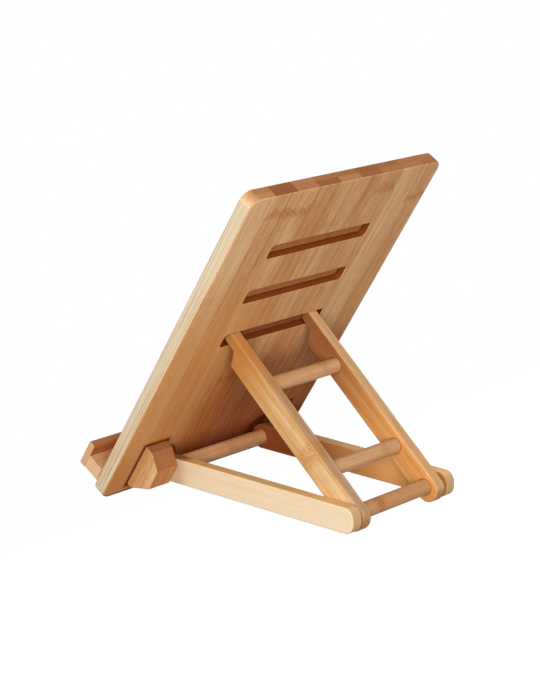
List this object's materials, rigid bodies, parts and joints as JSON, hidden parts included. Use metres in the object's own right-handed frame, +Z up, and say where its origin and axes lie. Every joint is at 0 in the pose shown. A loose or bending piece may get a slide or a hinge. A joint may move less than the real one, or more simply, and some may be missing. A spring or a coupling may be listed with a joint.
{
  "type": "folding album easel",
  "caption": "Folding bamboo easel: a slotted back board with a ledge leans on stepped legs that swing in a rail base, to hold an open album or book.",
  "frame": {"origin": "on the table under the middle of the open stand's box", "axes": "+Z up, +X to the right of a reader who faces +Y, with the reader on the -Y side; the legs are on the +Y side"},
  "size_m": [0.21, 0.2352, 0.2521],
  "materials": {
    "panel_bamboo": "oiled bamboo, long grain",
    "ledge_bamboo": "oiled bamboo",
    "block_bamboo": "oiled bamboo",
    "rail_bamboo": "oiled bamboo",
    "leg_bamboo": "oiled bamboo",
    "dowel_bamboo": "oiled bamboo",
    "peg_wood": "bare wood"
  },
  "bodies": {
    "base": {"base_rail_left": "rail_bamboo", "base_rail_right": "rail_bamboo", "front_pivot_dowel": "dowel_bamboo"},
    "board": {"back_board": "panel_bamboo", "ledge_shelf": "ledge_bamboo", "ledge_lip": "ledge_bamboo", "hinge_block_left": "block_bamboo", "hinge_block_right": "block_bamboo", "shelf_pegs": "peg_wood", "lip_pegs": "peg_wood", "block_pegs_left": "peg_wood", "block_pegs_right": "peg_wood"},
    "support": {"support_leg_left": "leg_bamboo", "support_leg_right": "leg_bamboo", "rear_pivot_dowel": "dowel_bamboo", "lower_cross_dowel": "dowel_bamboo", "upper_cross_dowel": "dowel_bamboo"}
  },
  "joints": [
    {"name": "board_tilt", "type": "hinge", "parent": "base", "child": "board", "pos_m": [0, -0.07076, 0.01809], "axis": [1, 0, 0], "range_deg": [0, 60]},
    {"name": "legs_swing", "type": "hinge", "parent": "base", "child": "support", "pos_m": [0, 0.10512, 0.01177], "axis": [1, 0, 0], "range_deg": [0, 41.3]}
  ],
  "couplings": [
    {"joint": "legs_swing", "follows": "board_tilt", "ratio": 0.68797}
  ]
}
